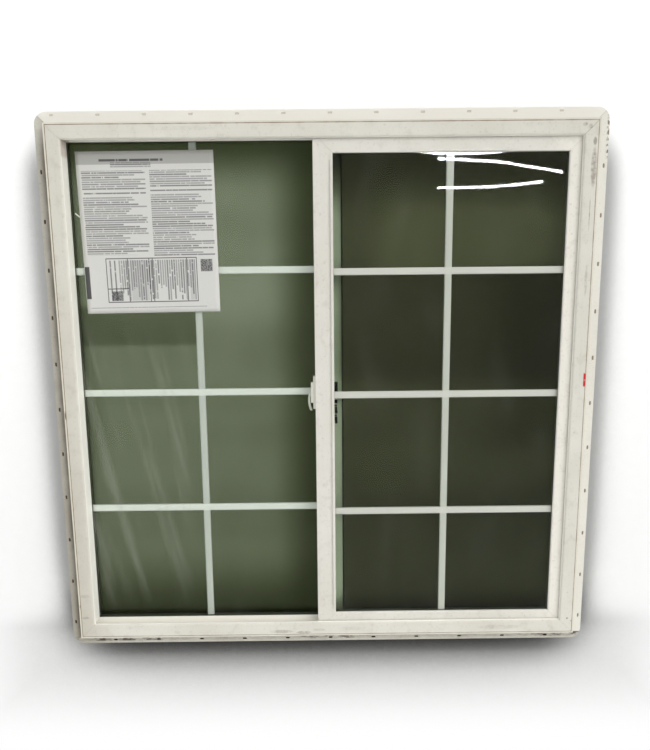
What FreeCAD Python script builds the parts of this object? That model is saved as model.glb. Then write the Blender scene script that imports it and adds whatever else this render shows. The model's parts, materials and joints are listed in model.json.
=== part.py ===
"""Horizontal sliding window with a slotted nail fin: a fixed pane on the left, a sliding sash on the right.

Frame of the part: X runs across the window, Y runs from the room side (-Y) to the weather side (+Y), Z is up.
The origin lies on the room-side face of the nail fin, in the middle of the fin below the sill.
"""
import FreeCAD, Part
import math
import os
import Sketcher

doc = FreeCAD.newDocument("sliding_window")
sheet = doc.addObject("Spreadsheet::Sheet", "sizes")

# Driving dimensions in millimetres
SIZES = {
    "frame_width": 1206.5,
    "frame_height": 1206.5,
    "room_depth": 25.4,
    "weather_depth": 41.3,
    "origin_drop": 7.44,
    "fin_width": 27.0,
    "fin_thick": 2.0,
    "fin_radius": 27.0,
    "face_width": 36.0,
    "lip_thick": 7.4,
    "lip_round": 5.0,
    "edge_strip": 4.5,
    "edge_step": 1.5,
    "track_width": 27.5,
    "head_floor": 14.4,
    "jamb_floor": 13.4,
    "sill_floor": 8.4,
    "stop_thick": 2.5,
    "pocket_width": 16.0,
    "pocket_floor": 23.3,
    "brow_flat": 5.0,
    "brow_face": 31.3,
    "rail_height": 2.0,
    "rail_width": 4.0,
    "slot_width": 4.5,
    "slot_length": 10.0,
    "slot_row": 19.35,
    "head_slot_first": 79.4,
    "head_slot_last": 11.2,
    "head_slot_count": 12,
    "sill_slot_first": 76.2,
    "sill_slot_last": 60.3,
    "sill_slot_count": 11,
    "left_slot_first": 100.3,
    "left_slot_last": 30.3,
    "right_slot_first": 33.1,
    "right_slot_last": 97.5,
    "jamb_slot_count": 11,
    "weep_inset": 94.0,
    "weep_length": 28.0,
    "weep_height": 5.0,
    "weep_raise": 12.4,
    "weep_depth": 6.0,
    "pane_thick": 3.0,
    "spacer_width": 10.0,
    "glass_edge": 3.0,
    "block_length": 60.0,
    "block_inset": 140.0,
    "bar_width": 15.9,
    "bar_thick": 5.0,
    "bar_rows": 3,
    "bar_pitch": 284.5,
    "meeting_left": 13.9,
    "meeting_right": 19.4,
    "meeting_bite": 11.0,
    "meeting_gap": 1.0,
    "sash_left": 22.1,
    "sash_side_gap": 4.6,
    "sash_head_gap": 9.1,
    "sash_sill_gap": 4.0,
    "sash_face_gap": 2.0,
    "sash_thick": 24.0,
    "sash_width": 43.7,
    "sash_leg": 6.0,
    "sash_round": 2.5,
    "sash_rebate": 14.0,
    "sash_gap": 8.0,
    "bead_width": 12.0,
    "pull_width": 6.0,
    "pull_rise": 3.0,
    "pull_end": 14.0,
    "roller_radius": 8.0,
    "roller_width": 6.0,
    "roller_gap": 0.1,
    "roller_inset": 110.0,
    "axle_radius": 2.0,
    "axle_gap": 0.05,
    "housing_length": 44.0,
    "housing_wall": 2.5,
    "housing_height": 20.0,
    "wheel_gap": 0.5,
    "lift_length": 70.0,
    "lift_inset": 60.0,
    "lift_gap": 2.0,
    "pile_width": 7.0,
    "pile_inset": 3.0,
    "latch_height": 592.4,
    "plate_height": 76.0,
    "plate_width": 16.0,
    "plate_thick": 5.0,
    "case_height": 47.0,
    "case_width": 13.0,
    "case_thick": 5.5,
    "lever_rise": 4.0,
    "lever_seat": 9.0,
    "lever_drop": 42.0,
    "lever_width": 9.0,
    "lever_thick": 2.5,
    "lever_tip": 5.0,
    "lever_return": 2.8,
    "lever_bow": 60.0,
    "screen_bar": 23.3,
    "screen_thick": 8.0,
    "screen_gap": 1.0,
    "screen_lift": 2.0,
    "mesh_thick": 0.6,
    "mesh_bite": 4.0,
}


class Size:
    """A length with its present value and the sheet expression that gives it."""

    def __init__(self, value, text):
        self.value = value
        self.text = text

    def join(self, sign, other, value):
        return Size(value, "(%s %s %s)" % (self.text, sign, other.text))

    def __add__(self, other):
        other = as_size(other)
        return self.join("+", other, self.value + other.value)

    def __sub__(self, other):
        other = as_size(other)
        return self.join("-", other, self.value - other.value)

    def __mul__(self, other):
        other = as_size(other)
        return self.join("*", other, self.value * other.value)

    def __truediv__(self, other):
        other = as_size(other)
        return self.join("/", other, self.value / other.value)

    def __neg__(self):
        return Size(-self.value, "(0 - %s)" % self.text)


def as_size(number):
    return number if isinstance(number, Size) else Size(number, repr(number))


def fill_sheet():
    for row, (name, value) in enumerate(SIZES.items(), start=1):
        sheet.set("A%d" % row, name)
        sheet.set("B%d" % row, str(value))
        sheet.setAlias("B%d" % row, name)
    doc.recompute()


def cell(name):
    return Size(SIZES[name], "sizes." + name)


ZERO = as_size(0)
# How far a cutting sketch lies or reaches clear of the solid that it cuts
CLEAR = as_size(1)
QUARTER_TURN = math.pi / 2


# Sketch helpers
def new_body(label):
    body = doc.addObject("PartDesign::Body", label)
    body.Label = label
    return body


def new_sketch(body, role, name, offset=None):
    sketch = body.newObject("Sketcher::SketchObject", name)
    plane = [item for item in body.Origin.OriginFeatures if item.Role == role][0]
    sketch.AttachmentSupport = [(plane, "")]
    sketch.MapMode = "FlatFace"
    if offset is not None:
        sketch.setExpression("AttachmentOffset.Base.z", offset.text)
    return sketch


def pin_point(sketch, geometry, end, x, y):
    """Tie one point of a sketch to the sheet, measured from the sketch's origin."""
    for kind, size in (("DistanceX", x), ("DistanceY", y)):
        index = sketch.addConstraint(Sketcher.Constraint(kind, -1, 1, geometry, end, size.value))
        sketch.setExpression("Constraints[%d]" % index, size.text)


def draw_polygon(sketch, points):
    first = sketch.GeometryCount
    count = len(points)
    corners = [FreeCAD.Vector(x.value, y.value, 0) for x, y in points]
    for i in range(count):
        sketch.addGeometry(Part.LineSegment(corners[i], corners[(i + 1) % count]), False)
    for i in range(count):
        following = first + (i + 1) % count
        sketch.addConstraint(Sketcher.Constraint("Coincident", first + i, 2, following, 1))
    for i, (x, y) in enumerate(points):
        pin_point(sketch, first + i, 1, x, y)


def draw_slot(sketch, x, y, length, width):
    """An obround along the sketch's X axis, centred on (x, y)."""
    radius = width / 2
    reach = (length - width) / 2
    up = FreeCAD.Vector(0, 0, 1)
    left = FreeCAD.Vector((x - reach).value, y.value, 0)
    right = FreeCAD.Vector((x + reach).value, y.value, 0)
    rise = FreeCAD.Vector(0, radius.value, 0)
    left_round = Part.Circle(left, up, radius.value)
    right_round = Part.Circle(right, up, radius.value)
    sketch.addGeometry(Part.ArcOfCircle(left_round, QUARTER_TURN, 3 * QUARTER_TURN), False)
    sketch.addGeometry(Part.LineSegment(left - rise, right - rise), False)
    sketch.addGeometry(Part.ArcOfCircle(right_round, -QUARTER_TURN, QUARTER_TURN), False)
    sketch.addGeometry(Part.LineSegment(right + rise, left + rise), False)
    for geometry, following in ((0, 1), (1, 2), (2, 3), (3, 0)):
        sketch.addConstraint(Sketcher.Constraint("Tangent", geometry, 2, following, 1))
    for arc, centre in ((0, x - reach), (2, x + reach)):
        pin_point(sketch, arc, 3, centre, y)
        index = sketch.addConstraint(Sketcher.Constraint("Radius", arc, radius.value))
        sketch.setExpression("Constraints[%d]" % index, radius.text)


def draw_round_corner(sketch, x, y, side, radius):
    """The waste outside a rounded corner at (x, y); side is +1 where the solid lies to the right, else -1."""
    corner = FreeCAD.Vector(x.value, y.value, 0)
    along = FreeCAD.Vector(x.value + side * radius.value, y.value, 0)
    above = FreeCAD.Vector(x.value, y.value + radius.value, 0)
    centre = FreeCAD.Vector(along.x, above.y, 0)
    start = 2 * QUARTER_TURN if side > 0 else 3 * QUARTER_TURN
    circle = Part.Circle(centre, FreeCAD.Vector(0, 0, 1), radius.value)
    sketch.addGeometry(Part.LineSegment(corner, along), False)
    sketch.addGeometry(Part.LineSegment(corner, above), False)
    sketch.addGeometry(Part.ArcOfCircle(circle, start, start + QUARTER_TURN), False)
    above_end, along_end = (1, 2) if side > 0 else (2, 1)
    sketch.addConstraint(Sketcher.Constraint("Coincident", 0, 1, 1, 1))
    sketch.addConstraint(Sketcher.Constraint("Horizontal", 0))
    sketch.addConstraint(Sketcher.Constraint("Vertical", 1))
    sketch.addConstraint(Sketcher.Constraint("Tangent", 0, 2, 2, along_end))
    sketch.addConstraint(Sketcher.Constraint("Tangent", 1, 2, 2, above_end))
    index = sketch.addConstraint(Sketcher.Constraint("Radius", 2, radius.value))
    sketch.setExpression("Constraints[%d]" % index, radius.text)
    pin_point(sketch, 0, 1, x, y)


def draw_bow(sketch, corners, radius):
    """A bowed strip: its two long sides are arcs of one radius that bulge to the left.

    corners are the outer top, outer bottom, inner bottom, seat bottom and seat top.
    """
    outer_top, outer_low, inner_low, seat_low, seat_top = [
        FreeCAD.Vector(x.value, y.value, 0) for x, y in corners
    ]
    sketch.addGeometry(left_arc(outer_top, outer_low, radius.value), False)
    sketch.addGeometry(Part.LineSegment(outer_low, inner_low), False)
    sketch.addGeometry(left_arc(seat_low, inner_low, radius.value), False)
    sketch.addGeometry(Part.LineSegment(seat_low, seat_top), False)
    sketch.addGeometry(Part.LineSegment(seat_top, outer_top), False)
    joins = ((0, 2, 1, 1), (1, 2, 2, 2), (2, 1, 3, 1), (3, 2, 4, 1), (4, 2, 0, 1))
    for first, first_end, second, second_end in joins:
        sketch.addConstraint(Sketcher.Constraint("Coincident", first, first_end, second, second_end))
    ends = ((0, 1), (0, 2), (2, 2), (2, 1), (3, 2))
    for (geometry, end), (x, y) in zip(ends, corners):
        pin_point(sketch, geometry, end, x, y)
    for arc in (0, 2):
        index = sketch.addConstraint(Sketcher.Constraint("Radius", arc, radius.value))
        sketch.setExpression("Constraints[%d]" % index, radius.text)


def left_arc(top, bottom, radius):
    """The arc from a top to a bottom point whose centre lies to the right of both."""
    chord = bottom - top
    rise = (radius ** 2 - (chord.Length / 2) ** 2) ** 0.5
    side = FreeCAD.Vector(-chord.y, chord.x, 0).normalize()
    centre = (top + bottom) / 2 + side * rise
    belly = centre - side * radius
    return Part.Arc(top, belly, bottom)


# Feature helpers
def pad(body, sketch, length, name):
    feature = body.newObject("PartDesign::Pad", name)
    feature.Profile = sketch
    feature.setExpression("Length", length.text)
    return feature


def pocket(body, sketch, name, length=None):
    """Cut away from the sketch's normal, through everything unless a length is given."""
    feature = body.newObject("PartDesign::Pocket", name)
    feature.Profile = sketch
    if length is None:
        feature.Type = "ThroughAll"
    else:
        feature.setExpression("Length", length.text)
    return feature


def round_edge(body, base, y, n, radius, name):
    """Round the edge of a bar that runs along local X at depth y and height n."""
    doc.recompute()
    near = 0.001

    def on_line(vertex):
        return abs(vertex.Y - y.value) < near and abs(vertex.Z - n.value) < near

    edges = base.Shape.Edges
    names = ["Edge%d" % (i + 1) for i in range(len(edges)) if all(on_line(v) for v in edges[i].Vertexes)]
    feature = body.newObject("PartDesign::Fillet", name)
    feature.Base = (base, names)
    feature.setExpression("Radius", radius.text)
    return feature


def row_of(body, feature, sketch, axis, pitch, count, name):
    """Repeat a feature along one axis of its sketch."""
    pattern = body.newObject("PartDesign::LinearPattern", name)
    pattern.Originals = [feature]
    pattern.Direction = (sketch, [axis])
    pattern.setExpression("Length", (pitch * (count - 1)).text)
    pattern.setExpression("Occurrences", count.text)
    body.Tip = pattern
    return pattern


def place(item, x, y, z, turn=0, axis=FreeCAD.Vector(0, 1, 0)):
    """Put a sub-part at a point tied to the sheet, turned about an axis by so many degrees."""
    spin = FreeCAD.Rotation(axis, turn)
    item.Placement = FreeCAD.Placement(FreeCAD.Vector(x.value, y.value, z.value), spin)
    for letter, size in (("x", x), ("y", y), ("z", z)):
        item.setExpression("Placement.Base." + letter, size.text)


def box(label, x0, x1, y0, y1, z0, z1):
    block = doc.addObject("Part::Box", label)
    block.Label = label
    for side, size in (("Length", x1 - x0), ("Width", y1 - y0), ("Height", z1 - z0)):
        block.setExpression(side, size.text)
    place(block, x0, y0, z0)
    return block


def rod(label, radius, x, y0, y1, z):
    """A round bar along Y."""
    cylinder = doc.addObject("Part::Cylinder", label)
    cylinder.Label = label
    cylinder.setExpression("Radius", radius.text)
    cylinder.setExpression("Height", (y1 - y0).text)
    place(cylinder, x, y0, z, -90, FreeCAD.Vector(1, 0, 0))
    return cylinder


def fuse(label, pieces):
    union = doc.addObject("Part::MultiFuse", label)
    union.Label = label
    union.Shapes = pieces
    return union


def cut(label, base, tool):
    difference = doc.addObject("Part::Cut", label)
    difference.Label = label
    difference.Base = base
    difference.Tool = tool
    return difference


def mitred_bar(label, profile, length, rounding=None, reach=ZERO):
    """A bar along local X with both ends cut at 45 degrees; its (y, n) profile has n = 0 on the outer edge.

    rounding holds the depth, height and radius of a rounded edge.
    reach is how far the profile goes out past n = 0.
    """
    body = new_body(label)
    section = new_sketch(body, "YZ_Plane", label + "_section", -reach)
    draw_polygon(section, profile)
    bar = pad(body, section, length + reach * 2, label + "_bar")
    if rounding is not None:
        round_edge(body, bar, *rounding, label + "_rounding")
    tip = max((n for y, n in profile), key=lambda size: size.value) + CLEAR
    low = -reach - CLEAR
    for end in ("start", "end"):
        waste = new_sketch(body, "XZ_Plane", label + "_seam_" + end, front_of(profile))
        outline = [(low, low), (tip, tip), (low, tip)]
        if end == "end":
            outline = [(length - x, n) for x, n in outline]
        draw_polygon(waste, outline)
        pocket(body, waste, label + "_mitre_" + end)
    return body


def front_of(profile):
    """The offset of a sketch plane just on the room side of a profile."""
    nearest = min(profile, key=lambda point: point[0].value)
    return CLEAR - nearest[0]


def frame_of_bars(names, profile, edges, rounding=None):
    """Four mitred bars of one profile round a rectangle given as left, right, bottom and top edges."""
    left, right, bottom, top = edges
    wide = right - left
    tall = top - bottom
    seats = {
        "bottom": (wide, left, bottom, 0),
        "top": (wide, right, top, 180),
        "left": (tall, left, top, 90),
        "right": (tall, right, bottom, -90),
    }
    bars = {}
    for side, label in names.items():
        length, x, z, turn = seats[side]
        bars[side] = mitred_bar(label, profile, length, rounding)
        place(bars[side], x, ZERO, z, turn)
    return bars


fill_sheet()

# Places worked out from the driving dimensions
frame_w = cell("frame_width")
frame_h = cell("frame_height")
fin_w = cell("fin_width")
face_w = cell("face_width")
floor_n = cell("pocket_floor")
room_y = -cell("room_depth")
weather_y = cell("weather_depth")
edge_x = frame_w / 2
bottom_z = cell("origin_drop")
top_z = bottom_z + frame_h
lip_y = room_y + cell("lip_thick")
stop_y = lip_y + cell("track_width")
glass_y = stop_y + cell("stop_thick")
brow_y = glass_y + cell("pocket_width")
brow_end_y = brow_y + cell("brow_flat")


# Outer frame with its nail fin
def frame_profile(floor, rail):
    """Section of a frame bar: stepped room face, sash track, glass pocket, weather brow and nail fin."""
    strip_n = cell("edge_strip")
    strip_y = room_y + cell("edge_step")
    face = [
        (strip_y, ZERO),
        (strip_y, strip_n),
        (room_y, strip_n),
        (room_y, face_w),
    ]
    track = []
    if floor is not None:
        track = [(lip_y, face_w), (lip_y, floor)]
        if rail:
            half = cell("rail_width") / 2
            middle_y = (lip_y + stop_y) / 2
            crest_n = floor + cell("rail_height")
            track += [
                (middle_y - half, floor),
                (middle_y - half, crest_n),
                (middle_y + half, crest_n),
                (middle_y + half, floor),
            ]
        track += [(stop_y, floor), (stop_y, face_w)]
    glazing = [
        (glass_y, face_w),
        (glass_y, floor_n),
        (brow_y, floor_n),
        (brow_y, face_w),
        (brow_end_y, face_w),
        (weather_y, cell("brow_face")),
        (weather_y, ZERO),
    ]
    fin = [
        (cell("fin_thick"), ZERO),
        (cell("fin_thick"), -fin_w),
        (ZERO, -fin_w),
        (ZERO, ZERO),
    ]
    return face + track + glazing + fin


def round_fin_corners(body, length):
    """Round the fin's two outer corners so that neighbouring fins meet in one arc."""
    for end, x, side in (("start", -fin_w, 1), ("end", length + fin_w, -1)):
        sketch = new_sketch(body, "XZ_Plane", body.Label + "_round_" + end, CLEAR)
        draw_round_corner(sketch, x, -fin_w, side, cell("fin_radius"))
        pocket(body, sketch, body.Label + "_corner_" + end)


def nail_slots(body, length, side, count):
    """A row of slots in the fin, spread evenly between the first and the last one."""
    first = cell(side + "_slot_first")
    pitch = (length - first - cell(side + "_slot_last")) / (count - 1)
    sketch = new_sketch(body, "XZ_Plane", body.Label + "_slot", CLEAR)
    draw_slot(sketch, first, -cell("slot_row"), cell("slot_length"), cell("slot_width"))
    slot = pocket(body, sketch, body.Label + "_first_slot")
    row_of(body, slot, sketch, "H_Axis", pitch, count, body.Label + "_slot_row")


def frame_bar(label, length, floor, rail=False):
    rounding = (room_y, face_w, cell("lip_round"))
    body = mitred_bar(label, frame_profile(floor, rail), length, rounding, fin_w)
    round_fin_corners(body, length)
    return body


def make_outer_frame():
    head = frame_bar("frame_head", frame_w, cell("head_floor"))
    nail_slots(head, frame_w, "head", cell("head_slot_count"))
    place(head, edge_x, ZERO, top_z, 180)
    sill = frame_bar("frame_sill", frame_w, cell("sill_floor"), True)
    nail_slots(sill, frame_w, "sill", cell("sill_slot_count"))
    weep_slots(sill)
    place(sill, -edge_x, ZERO, bottom_z)
    left = frame_bar("frame_jamb_left", frame_h, None)
    nail_slots(left, frame_h, "left", cell("jamb_slot_count"))
    place(left, -edge_x, ZERO, top_z, 90)
    right = frame_bar("frame_jamb_right", frame_h, cell("jamb_floor"))
    nail_slots(right, frame_h, "right", cell("jamb_slot_count"))
    place(right, edge_x, ZERO, bottom_z, -90)


def weep_slots(sill):
    """Two drain slots in the weather face of the sill."""
    sketch = new_sketch(sill, "XZ_Plane", "frame_sill_weep", -weather_y + cell("weep_depth"))
    x = cell("weep_inset")
    draw_slot(sketch, x, cell("weep_raise"), cell("weep_length"), cell("weep_height"))
    weep = pocket(sill, sketch, "frame_sill_first_weep")
    row_of(sill, weep, sketch, "H_Axis", frame_w - x * 2, as_size(2), "frame_sill_weep_row")


# Insulating glass: two panes, a spacer between them and a flat grille inside
def make_glass(name, edges, y0, gap):
    left, right, bottom, top = edges
    pane = cell("pane_thick")
    inner_y = y0 + pane
    outer_y = inner_y + gap
    box(name + "_glass_inner", left, right, y0, inner_y, bottom, top)
    box(name + "_glass_outer", left, right, outer_y, outer_y + pane, bottom, top)
    ring(name + "_spacer", edges, cell("spacer_width"), inner_y, outer_y)
    make_grille(name + "_grille", edges, (inner_y + outer_y) / 2)


def ring(label, edges, width, y0, y1):
    """A flat rectangular ring between two depths."""
    left, right, bottom, top = edges
    body = new_body(label)
    sketch = new_sketch(body, "XZ_Plane", label + "_outline", -y1)
    draw_polygon(sketch, [(left, bottom), (right, bottom), (right, top), (left, top)])
    inner = [(left + width, bottom + width), (right - width, bottom + width)]
    inner += [(right - width, top - width), (left + width, top - width)]
    draw_polygon(sketch, inner)
    pad(body, sketch, y1 - y0, label + "_pad")
    return body


def make_grille(label, edges, middle_y):
    """One upright bar crossed by evenly spaced level bars, reaching the spacer on all sides."""
    left, right, bottom, top = edges
    inset = cell("spacer_width")
    half = cell("bar_width") / 2
    thick = cell("bar_thick")
    rows = cell("bar_rows")
    middle_x = (left + right) / 2
    pitch = cell("bar_pitch")
    first_z = (bottom + top - pitch * (rows - 1)) / 2
    body = new_body(label)
    upright = new_sketch(body, "XZ_Plane", label + "_upright", -(middle_y + thick / 2))
    draw_polygon(upright, rectangle(middle_x - half, middle_x + half, bottom + inset, top - inset))
    pad(body, upright, thick, label + "_upright_bar")
    level = new_sketch(body, "XZ_Plane", label + "_level", -(middle_y + thick / 2))
    draw_polygon(level, rectangle(left + inset, right - inset, first_z - half, first_z + half))
    bar = pad(body, level, thick, label + "_level_bar")
    row_of(body, bar, level, "V_Axis", pitch, rows, label + "_level_bars")
    return body


def rectangle(x0, x1, z0, z1):
    return [(x0, z0), (x1, z0), (x1, z1), (x0, z1)]


def make_fixed_pane():
    pane = cell("pane_thick")
    edge = floor_n + cell("glass_edge")
    meeting_left = -cell("meeting_left")
    meeting_right = cell("meeting_right")
    bite = cell("meeting_bite")
    edges = (edge - edge_x, meeting_left + bite - cell("meeting_gap"), bottom_z + edge, top_z - edge)
    make_glass("fixed", edges, glass_y, cell("pocket_width") - pane * 2)
    rail = new_body("fixed_meeting_rail")
    section = new_sketch(rail, "XY_Plane", "fixed_meeting_rail_section", bottom_z + face_w)
    outline = [
        (meeting_left, stop_y),
        (meeting_right, stop_y),
        (meeting_right, brow_end_y),
        (meeting_left, brow_end_y),
        (meeting_left, brow_y),
        (meeting_left + bite, brow_y),
        (meeting_left + bite, glass_y),
        (meeting_left, glass_y),
    ]
    draw_polygon(section, outline)
    pad(rail, section, frame_h - face_w * 2, "fixed_meeting_rail_bar")
    blocks("fixed_setting_blocks", edges, bottom_z + floor_n, glass_y, brow_y)


def blocks(label, edges, floor_z, y0, y1):
    """Two setting blocks that carry a pane on the floor of its pocket."""
    left, right, bottom, top = edges
    length = cell("block_length")
    inset = cell("block_inset")
    first_x = left + inset
    body = new_body(label)
    sketch = new_sketch(body, "XZ_Plane", label + "_outline", -y1)
    draw_polygon(sketch, rectangle(first_x, first_x + length, floor_z, bottom))
    block = pad(body, sketch, y1 - y0, label + "_block")
    row_of(body, block, sketch, "H_Axis", right - left - inset * 2 - length, as_size(2), label + "_pair")


# Sliding sash
sash_y = lip_y + cell("sash_face_gap")
sash_back_y = sash_y + cell("sash_thick")
sash_w = cell("sash_width")
sash_edges = (
    -cell("sash_left"),
    edge_x - cell("jamb_floor") - cell("sash_side_gap"),
    bottom_z + cell("sill_floor") + cell("sash_sill_gap"),
    top_z - cell("head_floor") - cell("sash_head_gap"),
)
leg_y = sash_y + cell("sash_leg")
rebate_n = sash_w - cell("sash_rebate")
bead_y = leg_y + cell("pane_thick") * 2 + cell("sash_gap")


def inset_edges(edges, amount):
    left, right, bottom, top = edges
    return (left + amount, right - amount, bottom + amount, top - amount)


def make_sash():
    profile = [
        (sash_y, ZERO),
        (sash_y, sash_w),
        (leg_y, sash_w),
        (leg_y, rebate_n),
        (sash_back_y, rebate_n),
        (sash_back_y, ZERO),
    ]
    names = {
        "top": "sash_top_rail",
        "bottom": "sash_bottom_rail",
        "left": "sash_meeting_stile",
        "right": "sash_jamb_stile",
    }
    bars = frame_of_bars(names, profile, sash_edges, (sash_y, sash_w, cell("sash_round")))
    glass_edges = inset_edges(sash_edges, rebate_n + cell("glass_edge"))
    make_glass("sash", glass_edges, leg_y, cell("sash_gap"))
    blocks("sash_setting_blocks", glass_edges, sash_edges[2] + rebate_n, leg_y, bead_y)
    make_beads()
    make_rollers(bars["bottom"])


def make_beads():
    width = cell("bead_width")
    profile = [
        (bead_y, ZERO),
        (bead_y, width),
        (sash_back_y, width - cell("pane_thick")),
        (sash_back_y, ZERO),
    ]
    names = {side: "sash_bead_" + side for side in ("top", "bottom", "left", "right")}
    frame_of_bars(names, profile, inset_edges(sash_edges, rebate_n))


def make_pull_strip():
    """A finger pull along the glass side of the meeting stile."""
    right = sash_edges[0] + sash_w
    inset = sash_w + cell("pull_end")
    box(
        "sash_pull_strip",
        right - cell("pull_width"),
        right,
        sash_y - cell("pull_rise"),
        sash_y,
        sash_edges[2] + inset,
        sash_edges[3] - inset,
    )


# Rollers under the sash
def make_rollers(rail):
    """Two wheels in housings let into the bottom rail, running on the crest of the sill."""
    left, right, bottom, top = sash_edges
    length = cell("housing_length")
    inset = cell("roller_inset")
    half = cell("roller_width") / 2 + cell("wheel_gap") + cell("housing_wall")
    middle_y = (lip_y + stop_y) / 2
    mortise = new_sketch(rail, "XY_Plane", "sash_bottom_rail_mortise")
    draw_polygon(mortise, rectangle(inset, inset + length, middle_y - half, middle_y + half))
    hole = pocket(rail, mortise, "sash_bottom_rail_housing_hole", cell("housing_height"))
    hole.Reversed = True
    pitch = right - left - inset * 2 - length
    row_of(rail, hole, mortise, "H_Axis", pitch, as_size(2), "sash_bottom_rail_holes")
    for side, x in (("left", left + inset), ("right", right - inset - length)):
        make_roller(side, x, middle_y, bottom)


def make_roller(side, x, middle_y, bottom):
    wall = cell("housing_wall")
    length = cell("housing_length")
    wheel = cell("roller_width") / 2
    inside = wheel + cell("wheel_gap")
    outside = inside + wall
    top = bottom + cell("housing_height")
    radius = cell("roller_radius")
    axle_x = x + length / 2
    crest_z = bottom_z + cell("sill_floor") + cell("rail_height")
    axle_z = crest_z + cell("roller_gap") + radius
    shell = box("housing_%s_shell" % side, x, x + length, middle_y - outside, middle_y + outside, bottom, top)
    slot = box(
        "housing_%s_slot" % side,
        x + wall,
        x + length - wall,
        middle_y - inside,
        middle_y + inside,
        bottom,
        top - wall,
    )
    axle_r = cell("axle_radius")
    bore_r = axle_r + cell("axle_gap")
    bore = rod("housing_%s_bore" % side, bore_r, axle_x, middle_y - outside, middle_y + outside, axle_z)
    cut("sash_roller_housing_" + side, shell, fuse("housing_%s_void" % side, [slot, bore]))
    tyre = rod("roller_%s_tyre" % side, radius, axle_x, middle_y - wheel, middle_y + wheel, axle_z)
    axle = rod("roller_%s_axle" % side, axle_r, axle_x, middle_y - outside, middle_y + outside, axle_z)
    fuse("sash_roller_" + side, [tyre, axle])


# Brush seals and lift blocks that keep the sash in its track
def make_seals():
    left, right, bottom, top = sash_edges
    width = cell("pile_width")
    inset = cell("pile_inset")
    box("sash_pile_head", left, right, lip_y, sash_y, top - inset - width, top - inset)
    box("sash_pile_sill", left, right, lip_y, sash_y, bottom + inset, bottom + inset + width)
    jamb_bottom = bottom + inset * 2 + width
    jamb_top = top - inset * 2 - width
    box("sash_pile_jamb", right - inset - width, right - inset, lip_y, sash_y, jamb_bottom, jamb_top)
    rail_left = inset - cell("meeting_left")
    box(
        "meeting_rail_pile",
        rail_left,
        rail_left + width,
        sash_back_y,
        stop_y,
        bottom_z + face_w,
        top_z - face_w,
    )


def make_lift_blocks():
    """Two blocks in the head track that stop the sash from being lifted out."""
    left, right, bottom, top = sash_edges
    inset = cell("lift_inset")
    length = cell("lift_length")
    body = new_body("head_lift_blocks")
    sketch = new_sketch(body, "XZ_Plane", "head_lift_blocks_outline", -sash_back_y)
    floor_z = top_z - cell("head_floor")
    draw_polygon(sketch, rectangle(left + inset, left + inset + length, top + cell("lift_gap"), floor_z))
    block = pad(body, sketch, cell("sash_thick"), "head_lift_block")
    row_of(body, block, sketch, "H_Axis", right - left - inset * 2 - length, as_size(2), "head_lift_pair")


# Latch on the meeting stile
def make_latch():
    stile_x = sash_edges[0]
    plate_x = stile_x - cell("plate_thick")
    case_x = plate_x - cell("case_thick")
    middle_y = (sash_y + sash_back_y) / 2
    centre_z = sash_edges[2] + cell("latch_height")
    plate = (cell("plate_width"), cell("plate_height"))
    case = (cell("case_width"), cell("case_height"))
    centred_box("latch_plate", plate_x, stile_x, middle_y, centre_z, plate)
    centred_box("latch_case", case_x, plate_x, middle_y, centre_z, case)
    make_lever(case_x, middle_y, centre_z)


def make_lever(case_x, middle_y, centre_z):
    """A bowed finger lever that hangs from the case and curls back under it."""
    width = cell("lever_width")
    top = centre_z + cell("lever_rise")
    low = centre_z - cell("lever_drop")
    tip_x = case_x + cell("lever_return")
    lever = new_body("latch_lever")
    sketch = new_sketch(lever, "XZ_Plane", "latch_lever_outline", -(middle_y + width / 2))
    corners = [
        (case_x - cell("lever_thick"), top),
        (tip_x - cell("lever_tip"), low),
        (tip_x, low),
        (case_x, top - cell("lever_seat")),
        (case_x, top),
    ]
    draw_bow(sketch, corners, cell("lever_bow"))
    pad(lever, sketch, width, "latch_lever_pad")


def centred_box(label, x0, x1, y, z, size):
    width, height = size
    return box(label, x0, x1, y - width / 2, y + width / 2, z - height / 2, z + height / 2)


# Insect screen behind the sash
def make_screen():
    width = cell("screen_bar")
    front_y = brow_y - cell("screen_thick")
    profile = [(front_y, ZERO), (front_y, width), (brow_y, width), (brow_y, ZERO)]
    edges = (
        cell("meeting_right") + cell("screen_gap"),
        edge_x - floor_n - cell("screen_gap"),
        bottom_z + floor_n,
        top_z - floor_n - cell("screen_lift"),
    )
    names = {side: "screen_bar_" + side for side in ("top", "bottom", "left", "right")}
    frame_of_bars(names, profile, edges)
    left, right, bottom, top = inset_edges(edges, width - cell("mesh_bite"))
    box("screen_mesh", left, right, front_y - cell("mesh_thick"), front_y, bottom, top)


make_outer_frame()
make_fixed_pane()
make_sash()
make_pull_strip()
make_seals()
make_lift_blocks()
make_latch()
make_screen()

doc.recompute()


# Check every object, then write one file for each sub-part
def sub_parts():
    kinds = ("PartDesign::Body", "Part::Box", "Part::Cut", "Part::MultiFuse")
    inner = set()
    for item in doc.Objects:
        if item.TypeId in ("Part::Cut", "Part::MultiFuse"):
            inner.update(child.Name for child in item.OutList)
    return [item for item in doc.Objects if item.TypeId in kinds and item.Name not in inner]


def check_and_write():
    for item in doc.Objects:
        if "Invalid" in item.State or "Error" in item.State:
            raise RuntimeError("%s did not build: %s" % (item.Label, item.State))
        if item.TypeId == "PartDesign::Pocket" and item.Shape.Volume >= item.BaseFeature.Shape.Volume:
            raise RuntimeError("%s cuts nothing away" % item.Label)
    for item in sub_parts():
        if item.Shape.isNull() or not item.Shape.isValid():
            raise RuntimeError("%s has no valid shape" % item.Label)
    os.makedirs("parts", exist_ok=True)
    for item in sub_parts():
        item.Shape.exportStep("parts/%s.step" % item.Label)


check_and_write()
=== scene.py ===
"""Looks for the horizontal sliding window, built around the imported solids.

Lengths are in metres unless named otherwise, and colours are in steps of 0 to 255 until linear() turns them.
"""
import json
import math

import bmesh
import bpy
from mathutils import Matrix, Vector


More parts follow.
